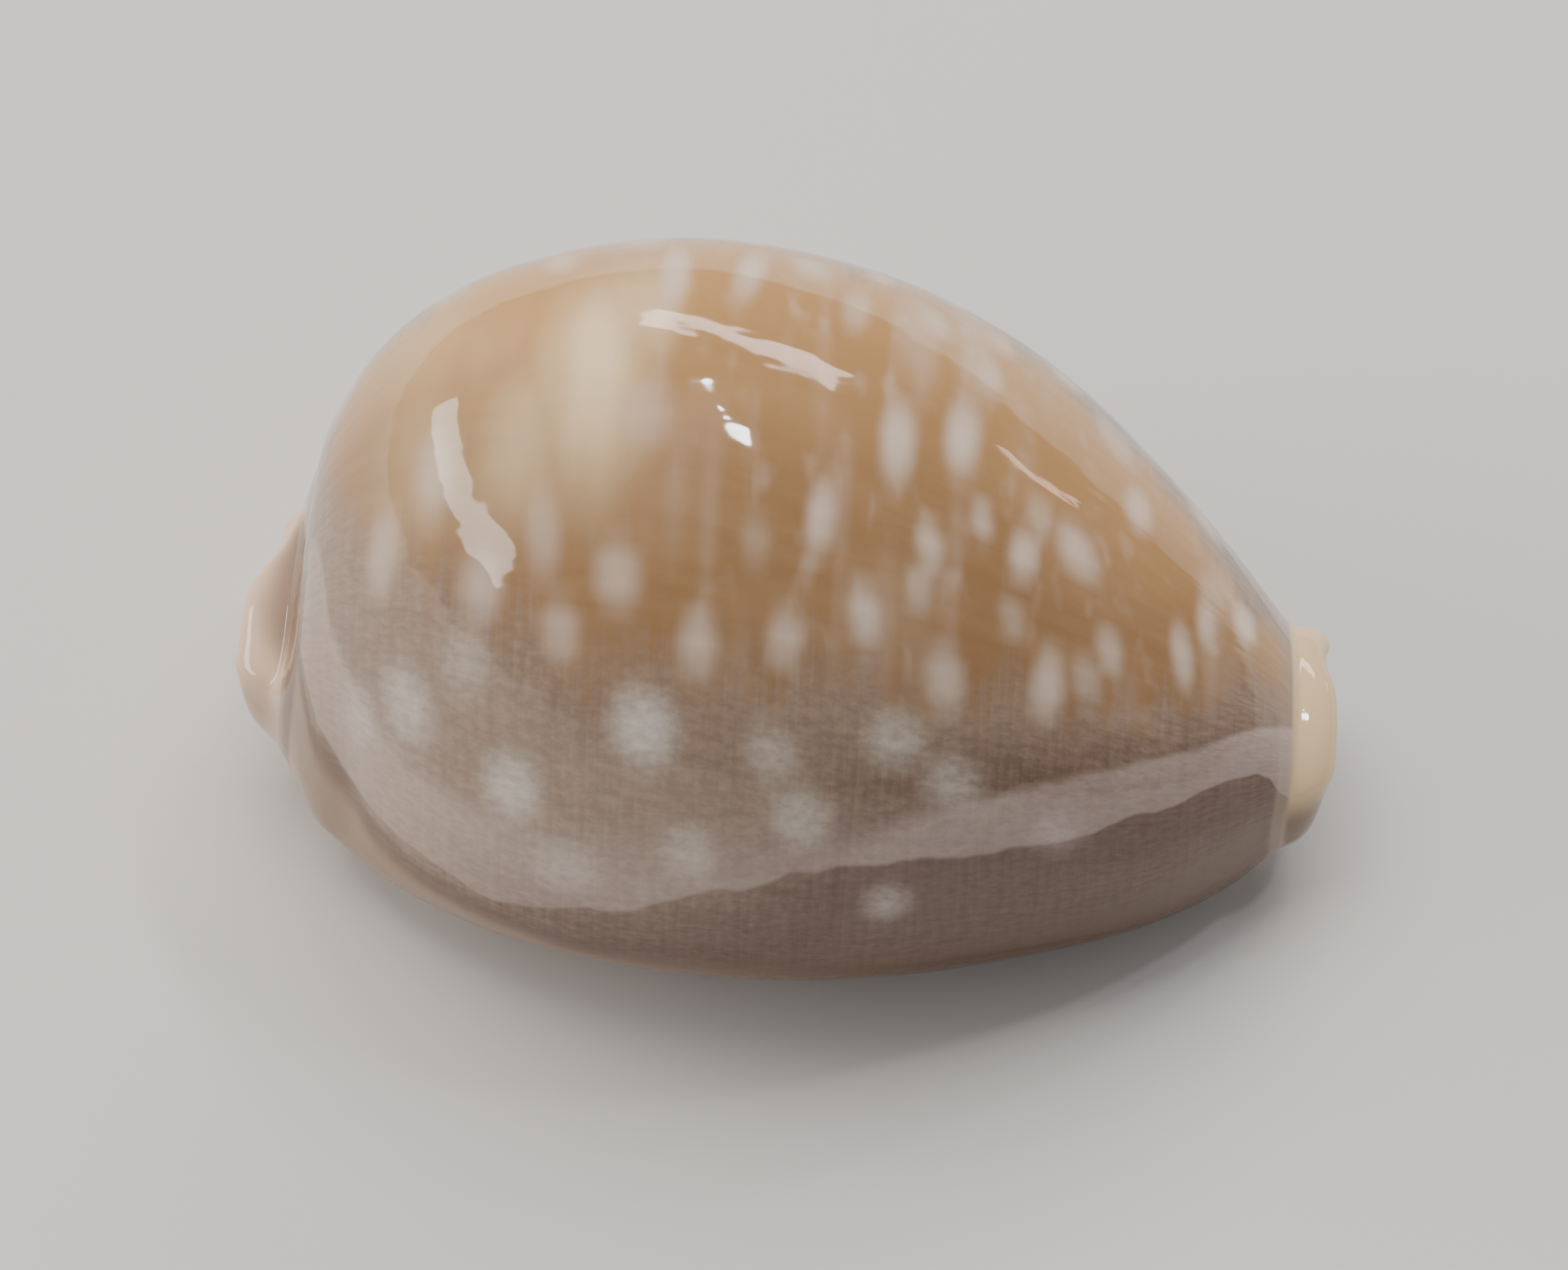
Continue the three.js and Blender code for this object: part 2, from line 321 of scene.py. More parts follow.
def smooth(x):
    """Smoothstep: 0 below 0, 1 above 1, and 3x^2 - 2x^3 between."""
    x = np.clip(x, 0, 1)
    return x * x * (3 - 2 * x)


def ramp(x, start, end):
    """Smoothstep of how far x is on its way from start to end, which may be the smaller."""
    return smooth((x - start) / (end - start))


def mix(a, b, share):
    """a where the share is 0, b where it is 1, and in a straight line between."""
    return a + (b - a) * share


def joined(body, collar):
    """Power mean sum of a body's and a collar's half width: the larger wins, joined smoothly."""
    return (np.abs(body) ** JOIN_POWER + np.abs(collar) ** JOIN_POWER) ** (1 / JOIN_POWER)


def bell(x, middle, spread):
    """Gaussian: 1 in the middle and 1 / e a spread away from it."""
    return np.exp(-(((x - middle) / spread) ** 2))


def egg(factors, t):
    """1 + a t + b t^2 + c t^3 + ..."""
    return 1 + sum(factor * t ** (power + 1) for power, factor in enumerate(factors))


class Section:
    """The cross-section's values at each t, as arrays.

    A half width is a half ellipse over t times its egg polynomial, joined to the collar's half
    width, which grows as t^2. Levels and the aperture's line bend smoothly towards each end.
    """

    def __init__(self, t):
        def end(name):
            return np.where(t < 0, POSTERIOR[name], ANTERIOR[name])

        far = np.abs(t)
        body_round = np.sqrt(np.maximum(0, 1 - t * t))
        hollow_end = 1 - WALL_END / BODY_HALF_LENGTH
        hollow_round = np.sqrt(np.maximum(0, 1 - (t / hollow_end) ** 2))
        width = egg(WIDTH_EGG, t)
        far_width = width * (1 + COLUMELLA_END_FULLNESS * t * t)
        dome = egg(DOME_EGG, t)
        hollow_half = BODY_HALF_WIDTH - WALL_SIDE
        to_posterior = ramp(-t, *SLIT_POSTERIOR_TURNS) ** SLIT_POSTERIOR_BEND
        to_anterior = ramp(t, *SLIT_ANTERIOR_TURNS)
        slit_turn = SLIT_POSTERIOR_TURN * to_posterior + SLIT_ANTERIOR_TURN * to_anterior
        widening = SLIT_ANTERIOR_WIDENING * ramp(t, *SLIT_WIDENS) + SLIT_END_WIDENING * t * t
        margin_grows = ramp(far, end("margin_from"), MARGIN_FULL_FROM)
        self.t = t
        self.x = BODY_MIDDLE + BODY_HALF_LENGTH * t
        outwards = np.hypot(t * BODY_HALF_WIDTH, body_round * BODY_HALF_LENGTH)
        self.outwards_x = t * BODY_HALF_WIDTH / outwards
        self.outwards_y = body_round * BODY_HALF_LENGTH / outwards
        self.level = mix(WIDEST_LEVEL, end("level"), ramp(far, *LEVEL_TURNS))
        self.base = BASE_ARCH * t * t + end("base_lift") * ramp(far, *BASE_LIFTS)
        self.middle = end("middle") * ramp(far, *MIDDLE_SHIFTS)
        self.slit = SLIT_OFFSET + slit_turn
        self.hollow_middle = mix(self.middle, self.slit, t**4)
        self.roll = LIP_ROLL * (1 - far**LIP_ROLL_POWER) + LIP_ROLL_AT_END
        self.half_slit = SLIT_HALF_WIDTH + widening
        self.dip = BASE_DIP * (1 - t**4)
        self.lip_thickness = mix(LIP_THICKNESS, LIP_THICKNESS_AT_END, t * t)
        self.half = {
            -1: joined(BODY_HALF_WIDTH * body_round * width, end("lip_half") * t * t),
            1: joined(BODY_HALF_WIDTH * body_round * far_width, end("columella_half") * t * t),
        }
        self.hollow = {
            -1: joined(hollow_half * hollow_round * width, CANAL_HALF_WIDTH * t * t),
            1: joined(hollow_half * hollow_round * far_width, CANAL_HALF_WIDTH * t * t),
        }
        self.rise = joined(DOME_RISE * body_round * dome, end("roof_rise") * t * t)
        hollow_rise = (DOME_RISE - WALL_TOP) * hollow_round * dome
        self.hollow_rise = joined(hollow_rise, CANAL_ROOF_RISE * t * t)
        self.margin = end("margin") * margin_grows
        self.margin_angle = end("margin_angle")

    def lip_edge(self, side):
        """y where the base ends and the rounded lip begins."""
        return self.slit + side * (self.half_slit + self.roll)

    def tooth(self, side, teeth):
        """Height of a tooth: a raised cosine along t, 0 beyond the row's reach."""
        shift = 0 if side < 0 else COLUMELLA_TOOTH_SHIFT
        phase = (self.t + TEETH_END) / (2 * TEETH_END) * teeth + shift
        ridge = (0.5 + 0.5 * np.cos(2 * np.pi * phase)) ** TOOTH_SHARPNESS
        fade = smooth((TEETH_REACH[side] - np.abs(self.t)) / TEETH_FADE)
        return TOOTH_HEIGHT * fade * (ridge - TOOTH_VALLEY_SHARE)


def outside(s, side, angle, teeth):
    """Outside of the wall. angle is 0 at the top of the back and pi at the lip's edge.

    Above the widest line a half ellipse. Below it a superellipse down to the base, which turns up
    into the slit and carries the teeth's ends. The margin is a Gaussian swelling, outwards in plan,
    less a narrower and shallower Gaussian valley that sets it off from the side. At the posterior
    end the swelling turns up the wall and spreads, and the valley fades at both ends.
    """
    sine = np.maximum(0, np.sin(angle))
    cosine = np.abs(np.cos(angle))
    low = angle > np.pi / 2
    reach = side * s.half[side]
    edge = s.lip_edge(side)
    y = np.where(low, mix(edge, s.middle + reach, sine**BASE_SIDE_POWER), s.middle + reach * sine)
    floor = mix(s.level, s.base, cosine**BASE_FLOOR_POWER)
    from_slit = np.abs(y - edge)
    tooth_reach = LIP_TOOTH_REACH if side < 0 else COLUMELLA_TOOTH_REACH
    floor = floor + s.dip * (1 - smooth(from_slit / BASE_DIP_WIDTH))
    floor = floor - s.tooth(side, teeth) * (1 - smooth(from_slit / tooth_reach))
    z = np.where(low, floor, s.level + s.rise * cosine)
    at_end = ramp(-s.t, *END_MARGIN_TURNS)
    spread = mix(MARGIN_SPREAD, END_MARGIN_SPREAD, at_end)
    crest = bell(angle, s.margin_angle - END_MARGIN_TURN * at_end, spread)
    valley_share = VALLEY_SHARE * (1 - ramp(np.abs(s.t), *VALLEY_FADES))
    valley = valley_share * bell(angle, VALLEY_ANGLE, VALLEY_SPREAD)
    swelling = s.margin * (crest - valley) * (1 if side < 0 else COLUMELLA_MARGIN_SHARE)
    y = y + side * swelling * s.outwards_y
    return s.x + swelling * s.outwards_x + spire_pit(s, y, z), y, z


def spire_pit(s, y, z):
    """How far the posterior wall is pushed in round the sunken spire: two Gaussians, one a knob."""
    across = y - SPIRE_PIT["y"]
    up = z - (POSTERIOR["level"] + SPIRE_PIT["above_level"])
    r2 = (across**2 + up**2) / SPIRE_PIT["radius"] ** 2
    knob = SPIRE_KNOB["share"] * np.exp(-SPIRE_KNOB["narrowing"] * r2)
    return np.where(s.t < 0, SPIRE_PIT["depth"] * (np.exp(-r2) - knob), 0)


def inside(s, side, angle, teeth):
    """Inside of the wall, by the same angle: smaller half widths over a floor above the lips."""
    sine = np.maximum(0, np.sin(angle))
    cosine = np.abs(np.cos(angle))
    low = angle > np.pi / 2
    reach = side * s.hollow[side]
    edge = s.lip_edge(side)
    floor = s.base + s.dip + s.lip_thickness
    side_y = s.hollow_middle + reach
    y = np.where(low, mix(edge, side_y, sine**BASE_SIDE_POWER), s.hollow_middle + reach * sine)
    z_low = mix(s.level, floor, cosine**BASE_FLOOR_POWER)
    bump = s.tooth(side, teeth) * (1 - smooth(np.abs(y - edge) / INSIDE_TOOTH_REACH))
    z = np.where(low, z_low + bump, s.level + s.hollow_rise * cosine)
    return np.broadcast_to(s.x, y.shape), y, z


def lip(s, side, angle, teeth):
    """The rounded lip: half an ellipse from the base (angle 0) to the inside (angle pi)."""
    bump = s.tooth(side, teeth)
    y = s.lip_edge(side) - side * (s.roll + bump) * np.sin(angle)
    half_turn = s.lip_thickness / 2 * (1 - np.cos(angle))
    z = s.base + s.dip + half_turn - bump * np.cos(angle)
    return np.broadcast_to(s.x, y.shape), y, z


def wall_places(side_steps, lip_steps):
    """The runs round the wall: (surface, side, angles), in order, with no place twice."""
    down = np.linspace(np.pi, 0, side_steps, endpoint=False)
    up = np.linspace(np.pi, 0, side_steps, endpoint=False)[::-1]
    turn = np.linspace(0, np.pi, lip_steps + 2)[1:-1]
    return [
        (outside, -1, down),
        (outside, -1, np.zeros(1)),
        (outside, 1, up),
        (lip, 1, turn),
        (inside, 1, down),
        (inside, -1, np.zeros(1)),
        (inside, -1, up),
        (lip, -1, turn[::-1]),
    ]


def wall(t, places, teeth):
    """Points of the wall at each t and each place, as an array of (t, place, xyz)."""
    s = Section(t[:, None])
    runs = [np.stack(on(s, side, angles[None, :], teeth), -1) for on, side, angles in places]
    return np.concatenate(runs, axis=1)


def place_values(places):
    """For each place: signed angle round the shell over pi, and 0 outside to 1 inside."""
    angle, inner = [], []
    for on, side, angles in places:
        if on is lip:
            angle.append(np.full(len(angles), float(side)))
            inner.append((1 - np.cos(angles)) / 2)
        else:
            angle.append(side * angles / np.pi)
            inner.append(np.full(len(angles), 0.0 if on is outside else 1.0))
    return np.concatenate(angle), np.concatenate(inner)


def collar(end, rim, partner, angle, on_lip, steps):
    """Rings of a collar: the wall narrows to its middle line as it turns a quarter round outwards.

    The depth is less in a Gaussian notch at the canal, low down, and towards the columella.
    """
    turn = np.linspace(0, np.pi / 2, steps + 1)[1:, None, None]
    signed = angle * np.pi
    notch = bell(signed, end["notch"], NOTCH_SPREAD) * ~on_lip
    low = ramp(np.abs(signed), *COLLAR_LOST_BELOW)
    columella = ramp(signed, *COLLAR_LOST_AT_COLUMELLA)
    depth = end["depth"] * (1 - end["notch_share"] * notch) * (1 - end["lost_below"] * low)
    depth = depth * (1 - end["lost_at_columella"] * columella)
    depth = (depth + depth[partner]) / 2
    crest = (rim + rim[partner]) / 2
    rings = crest + (rim - crest) * np.cos(turn)
    rings[..., 0] += end["sign"] * depth * np.sin(turn[..., 0])
    return rings


def soften(points, outer, passes):
    """Rounds the outside across the wall: each pass is a 1-2-1 mean, weaker towards the lips."""
    position = np.linspace(-1, 1, outer)
    weight = ramp(np.abs(position), *WALL_SOFTENED)[1:-1, None]
    for _ in range(passes):
        run = points[:, :outer]
        mean = (run[:, :-2] + 2 * run[:, 1:-1] + run[:, 2:]) / 4
        points[:, 1 : outer - 1] = mix(run[:, 1:-1], mean, weight)
    return points


def soften_ends(points, partner, weight, passes):
    """Rounds the ends: 1-2-1 means along the shell or, for True, round it, by each point's weight.

    Past a folded end the next ring is the wall's other face, so the fold stays closed.
    """
    for across in passes:
        if across:
            before, after = np.roll(points, 1, axis=1), np.roll(points, -1, axis=1)
        else:
            before = np.concatenate([points[1:2, partner], points[:-1]])
            after = np.concatenate([points[1:], points[-2:-1, partner]])
        points = mix(points, (before + 2 * points + after) / 4, weight)
    return points


def stations(teeth, per_tooth, end_rings):
    """Values of t: even between the teeth's ends, and even in angle on the rounded ends."""
    end_angle = np.arccos(TEETH_END)
    rounded = np.cos(end_angle * np.arange(end_rings) / end_rings)
    even = np.linspace(-TEETH_END, TEETH_END, teeth * per_tooth + 1)
    return np.concatenate([-rounded, even, rounded[::-1]])


def spot_field(x, angle, radius, spots, rng):
    """The strongest at each point of soft-edged ellipses, each with its own random lean."""
    field = np.zeros(np.broadcast(x, angle).shape)
    for along, degrees, half_along, half_round, strength in spots:
        lean = rng.uniform(-SPOT_LEAN, SPOT_LEAN)
        dy = (angle * 180 - degrees) * np.pi / 180 * radius
        dx = x - along - lean * dy
        r = np.sqrt((dx / half_along) ** 2 + (dy / half_round) ** 2)
        field = np.maximum(field, strength * (1 - ramp(r, *SPOT_EDGE)))
    return field


def past_line(line, x, down):
    """How far a point is below a line between two zones, in tens of degrees."""
    along, degrees = np.transpose(line)
    return (down - np.interp(x, along, degrees)) / LINE_UNIT


def far_side_spots(rng):
    """Spots for the columella's side, which the photograph doesn't show, spread like the others."""
    spots = []
    for number in range(FAR_SPOTS):
        jitter = rng.uniform(-FAR_SPOT_JITTER, FAR_SPOT_JITTER)
        along = mix(*FAR_SPOT_ALONG, (number * FAR_SPOT_STEP) % 1) + jitter
        degrees = mix(*FAR_SPOT_DEGREES, (number + 0.5) / FAR_SPOTS)
        size = rng.uniform(*FAR_SPOT_SIZE)
        height = size * (TALL_SPOT if degrees < TALL_SPOTS_ABOVE else 1)
        spots.append((along, degrees, size, height, rng.uniform(*FAR_SPOT_STRENGTH)))
    return tuple(spots)


def soften_both_ends(points, partner, t_ring, angle, count):
    """Rounds both ends, and once more low down, where the collars meet the margins."""
    far = np.abs(t_ring)
    weight = ramp(far, *END_SOFTENED)[..., None]
    passes = [False] * count + [True] * END_ROUND_PASSES * count
    points = soften_ends(points, partner, weight, passes)
    low = ramp(np.abs(angle) * 180, *LOW_END_DEGREES)[:, None]
    weight = ramp(far, *LOW_END_SOFTENED)[..., None] * low
    return soften_ends(points, partner, weight, [False, True] * LOW_END_PASSES * count)


def finish_values(points, t_ring, past_end, angle, inner, teeth):
    """What the finish needs to know about each point: its place, and how near each marking is."""
    rng = np.random.default_rng(SEED)
    x = points[..., 0]
    radius = (BODY_HALF_WIDTH + DOME_RISE) / 2
    radius = radius * np.sqrt(np.maximum(SPOT_RADIUS_FLOOR, 1 - t_ring**2))
    signed = np.broadcast_to(angle, x.shape)
    down = np.abs(signed) * 180
    seen = spot_field(x, signed, radius, DORSAL_SPOTS, rng)
    seen_side = spot_field(x, signed, radius, SIDE_SPOTS, rng)
    unseen = spot_field(x, signed, radius, far_side_spots(rng), rng)
    straw = spot_field(x, signed, radius, STRAW_PATCHES, rng)
    s = Section(t_ring)
    tooth = np.where(signed < 0, s.tooth(-1, teeth), s.tooth(1, teeth))
    edge = np.where(signed < 0, s.lip_edge(-1), s.lip_edge(1))
    values = {
        "around": signed,
        "inner": inner,
        "collar": mix(past_end, ramp(np.abs(t_ring), *COLLAR_STARTS), COLLAR_START_SHARE),
        "spots": np.maximum(seen, unseen),
        "side_spots": seen_side,
        "straw": straw,
        "past_side": past_line(SIDE_LINE, x, down),
        "past_margin": past_line(MARGIN_LINE, x, down),
        "past_reflection_top": past_line(REFLECTION_TOP, x, down),
        "past_reflection_foot": past_line(REFLECTION_FOOT, x, down),
        "tooth": tooth / TOOTH_HEIGHT + 0.5,
        "from_slit": np.abs(points[..., 1] - edge),
    }
    return {name: np.broadcast_to(value, x.shape) for name, value in values.items()}


def into_box(points):
    """The points with their feet cut flat, scaled to fill the frame's box for the shell."""
    points[..., 2] = np.maximum(points[..., 2] - FOOT_CUT, 0)
    flat = points.reshape(-1, 3)
    low, high = flat.min(0), flat.max(0)
    return BOX_LOW + (flat - low) / (high - low) * (BOX_HIGH - BOX_LOW)


def grid_quads(rings, partner):
    """The grid's quads. The first and last rings are folded shut, so pairs share one vertex."""
    around = len(partner)
    index = np.arange(rings * around).reshape(rings, around)
    first_of_pair = np.minimum(np.arange(around), partner)
    index[0] = index[0][first_of_pair]
    index[-1] = index[-1][first_of_pair]
    ahead = np.roll(index, -1, axis=1)
    return np.stack([index[:-1], index[1:], ahead[1:], ahead[:-1]], -1).reshape(-1, 4)


def shell_mesh(settings):
    """The shell as one closed grid, and what the finish needs to know about each point."""
    places = wall_places(settings.side_steps, settings.lip_steps)
    angle, inner = place_values(places)
    around = len(angle)
    outer = 2 * settings.side_steps + 1
    on_lip = (inner > 0) & (inner < 1)
    partner = (2 * outer + settings.lip_steps - 1 - np.arange(around)) % around
    t = stations(settings.teeth, settings.rings_per_tooth, settings.end_rings)
    body = soften(wall(t, places, settings.teeth), outer, settings.soften_passes)
    steps = settings.collar_rings
    posterior = collar(POSTERIOR, body[0], partner, angle, on_lip, steps)[::-1]
    anterior = collar(ANTERIOR, body[-1], partner, angle, on_lip, steps)
    points = np.concatenate([posterior, body, anterior])

    t_ring = np.concatenate([np.full(steps, -1.0), t, np.full(steps, 1.0)])[:, None]
    turn = np.arange(1, steps + 1) / steps
    past_end = np.concatenate([turn[::-1], np.zeros(len(t)), turn])[:, None]
    points = soften_both_ends(points, partner, t_ring, angle, settings.end_passes)
    values = finish_values(points, t_ring, past_end, angle, inner, settings.teeth)
    return into_box(points), grid_quads(len(points), partner), values


def mesh_object(name, vertices, quads, values):
    """A mesh object from arrays. A quad with a doubled corner becomes a triangle, or goes."""
    triangles = np.concatenate([quads[:, [0, 1, 2]], quads[:, [0, 2, 3]]])
    same = (triangles == np.roll(triangles, 1, axis=1)).any(axis=1)
    triangles = triangles[~same]
    used, triangles = np.unique(triangles, return_inverse=True)
    triangles = triangles.reshape(-1, 3)
    mesh = bpy.data.meshes.new(name)
    mesh.vertices.add(len(used))
    mesh.vertices.foreach_set("co", vertices[used].astype(np.float32).ravel())
    mesh.loops.add(triangles.size)
    mesh.loops.foreach_set("vertex_index", triangles.astype(np.int32).ravel())
    mesh.polygons.add(len(triangles))
    mesh.polygons.foreach_set("loop_start", np.arange(0, triangles.size, 3, dtype=np.int32))
    mesh.update(calc_edges=True)
    mesh.validate()
    mesh.shade_smooth()
    for key, value in values.items():
        attribute = mesh.attributes.new(key, "FLOAT", "POINT")
        attribute.data.foreach_set("value", value.reshape(-1)[used].astype(np.float32))
    piece = bpy.data.objects.new(name, mesh)
    bpy.context.scene.collection.objects.link(piece)
    return piece


class Value:
    """A node socket that takes part in Python arithmetic by adding Math nodes."""

    def __init__(self, nodes, socket):
        self.nodes = nodes
        self.socket = socket

    def math(self, operation, *others):
        inputs = dict(enumerate((self, *others)))
        return self.nodes.add("ShaderNodeMath", {"operation": operation}, inputs)

    def __add__(self, other):
        return self.math("ADD", other)

    def __mul__(self, other):
        return self.math("MULTIPLY", other)

    def __sub__(self, other):
        return self.math("SUBTRACT", other)

    def __rsub__(self, other):
        return self.nodes.add("ShaderNodeMath", {"operation": "SUBTRACT"}, {0: other, 1: self})

    def __truediv__(self, other):
        return self.math("DIVIDE", other)

    __radd__ = __add__
    __rmul__ = __mul__

    def swing(self, width):
        """A noise moved to swing about 0, and made as wide as asked."""
        return (self - 0.5) * width

    def step(self, low, high):
        """0 below low and 1 above high, smooth between."""
        settings = {"interpolation_type": "SMOOTHSTEP", "clamp": True}
        return self.nodes.add("ShaderNodeMapRange", settings, {0: self, 1: low, 2: high})


class Nodes:
    """A material's node tree, with one method that adds any node."""

    def __init__(self, name):
        self.material = bpy.data.materials.new(name)
        self.material.use_nodes = True
        self.tree = self.material.node_tree
        self.tree.nodes.clear()

    def add(self, kind, settings=None, inputs=None, output=0):
        """Adds a node, applies its settings, then sets or links its inputs. Returns one output."""
        node = self.tree.nodes.new(kind)
        for key, value in (settings or {}).items():
            setattr(node, key, value)
        for key, value in (inputs or {}).items():
            socket = node.inputs[key]
            if isinstance(value, Value):
                self.tree.links.new(value.socket, socket)
            else:
                socket.default_value = value
        return Value(self, node.outputs[output]) if len(node.outputs) else node

    def attribute(self, name):
        return self.add("ShaderNodeAttribute", {"attribute_name": name}, output="Fac")

    def blend(self, share, below, above):
        """Colour mix: below where share is 0, above where it is 1."""
        settings = {"data_type": "RGBA", "clamp_factor": True}
        colours = {6: self.colour(below), 7: self.colour(above)}
        return self.add("ShaderNodeMix", settings, {0: share, **colours}, output=2)

    @staticmethod
    def colour(value):
        return value if isinstance(value, Value) else (*value, 1)

    def noise(self, vector, scale, detail=2.0, roughness=0.5):
        inputs = {"Vector": vector, "Scale": scale, "Detail": detail, "Roughness": roughness}
        return self.add("ShaderNodeTexNoise", {"noise_dimensions": "3D"}, inputs)

    def vector(self, x, y, z):
        return self.add("ShaderNodeCombineXYZ", {}, {0: x, 1: y, 2: z})


class CowrieForm(bpy.types.PropertyGroup):
    teeth: IntProperty(
        name="Teeth",
        description="Teeth on each lip of the aperture",
        default=25,
        min=5,
        max=40,
    )
    rings_per_tooth: IntProperty(
        name="Rings per Tooth",
        description="Mesh rings along the shell for each tooth",
        default=12,
        min=3,
        max=20,
    )
    end_rings: IntProperty(
        name="End Rings",
        description="Mesh rings on each rounded end of the body",
        default=26,
        min=4,
        max=60,
    )
    collar_rings: IntProperty(
        name="Collar Rings",
        description="Mesh rings on each end collar",
        default=10,
        min=3,
        max=30,
    )
    side_steps: IntProperty(
        name="Side Steps",
        description="Mesh steps from the top of the back to the edge of a lip",
        default=56,
        min=12,
        max=90,
    )
    lip_steps: IntProperty(
        name="Lip Steps",
        description="Mesh steps round the edge of a lip",
        default=11,
        min=3,
        max=30,
    )
    soften_passes: IntProperty(
        name="Softening",
        description="Smoothing passes across the outside of the wall",
        default=14,
        min=0,
        max=60,
    )
    end_passes: IntProperty(
        name="End Softening",
        description="Smoothing passes that round the end collars",
        default=7,
        min=0,
        max=30,
    )


def colour_property(name, description, default):
    return FloatVectorProperty(
        name=name, description=description, default=default, subtype="COLOR", min=0, max=1
    )


class CowrieFinish(bpy.types.PropertyGroup):
    fawn: colour_property("Fawn", "Brown of the back", (0.415, 0.24, 0.113))
    umber: colour_property("Umber", "Darker clouds in the brown", (0.35, 0.19, 0.08))
    ochre: colour_property("Ochre", "Lighter, warmer brown of the top", (0.655, 0.36, 0.132))
    straw: colour_property("Straw", "Pale patch towards the posterior end", (0.93, 0.71, 0.43))
    milk: colour_property("Milk", "Milky spots on the back", (0.82, 0.665, 0.545))
    mist: colour_property("Mist", "Greyer spots on the sides", (0.82, 0.75, 0.67))
    taupe: colour_property("Taupe", "Ground of the sides", (0.31, 0.215, 0.155))
    # Mauve of the lower sides, made darker as painted shade; also the colour of painted shade in
    # the groove and creases.
    mauve_and_shade: colour_property("Mauve", "Darker lower side", (0.11, 0.046, 0.025))
    hair: colour_property("Hair", "Pale threads on the sides", (0.52, 0.37, 0.27))
    # A painted reflection: the floor's pale gleam on the sides, laid in as colour.
    painted_reflection: colour_property("Veil", "Thin pale enamel over the sides", (0.78, 0.62, 0.55))
    tan: colour_property("Tan", "Posterior margins", (0.41, 0.285, 0.2))
    # Buff of the anterior margins, made darker as painted shade.
    buff_and_shade: colour_property("Buff", "Anterior margins", (0.15, 0.078, 0.038))
    cream: colour_property("Cream", "Posterior collar", (0.86, 0.62, 0.44))
    butter: colour_property("Butter", "Anterior collar", (0.90, 0.66, 0.38))
    base: colour_property("Base", "Underside", (0.78, 0.71, 0.62))
    tooth: colour_property("Tooth", "Ridges of the teeth", (0.86, 0.83, 0.77))
    inside: colour_property("Inside", "Hollow behind the aperture", (0.60, 0.52, 0.56))
    thread_spacing: FloatProperty(
        name="Thread Spacing",
        description="Distance between the pale threads that run down the sides",
        default=0.00052,
        min=0.0002,
        max=0.003,
        unit="LENGTH",
    )


class CowrieStage(bpy.types.PropertyGroup):
    elevation: FloatProperty(
        name="Elevation",
        description="Angle of the camera above the floor",
        default=np.radians(55),
        subtype="ANGLE",
    )
    roll: FloatProperty(
        name="Roll",
        description="Turn of the camera about its own axis",
        default=np.radians(-2.99),
        subtype="ANGLE",
    )
    distance: FloatProperty(
        name="Distance",
        description="Distance from the camera to the middle of the shell",
        default=0.23,
        unit="LENGTH",
    )
    lens: FloatProperty(
        name="Lens",
        description="Focal length on a 36 mm sensor, in millimetres",
        default=117.0,
    )
    floor_size: FloatProperty(
        name="Floor Size",
        description="Width of the floor",
        default=3.0,
        unit="LENGTH",
    )
    floor_colour: colour_property("Floor", "Colour of the floor", (0.76, 0.75, 0.73))


# Where the posterior's colours turn to the anterior's, and where each zone's own do, along X.
FORWARD = (-14, 4)
MILK_APPEARS = (-16, 4)
MARGIN_DARKENS = (-12, 8)
GROOVE_SHADE_APPEARS = (-22.4, -21.2)
BUTTER_APPEARS = (5, 20)
REFLECTION_EDGE_SOFTENS = (-14, -7)
REFLECTION_EDGE_SHARPENS = (-1, 8)
PALE_ENDS = (17, 23)

# Where each zone starts and is full, in degrees from the top of the back.
CREAM_SHADED = (60, 90)
UNDERSIDE = (130, 152)
COLLAR_LOWERED = (15, 95)
CREASE_SHADE_DEEPENS = (5, 30)
TOOTH_ZONE = (140, 160)
TOOTH_COLOUR_REACH = 4.2

# The polish: how light enters, spreads below the surface and is thrown back.
POLISH = {
    "IOR": 1.6,
    "Subsurface Weight": 0.1,
    "Subsurface Radius": (1.0, 0.6, 0.4),
    "Subsurface Scale": 0.0009,
}
ROUGHNESS_LEAST = 0.045
ROUGHNESS_SPAN = 0.03
RELIEF_HEIGHT = 0.0001
MILLIMETRES = 1000


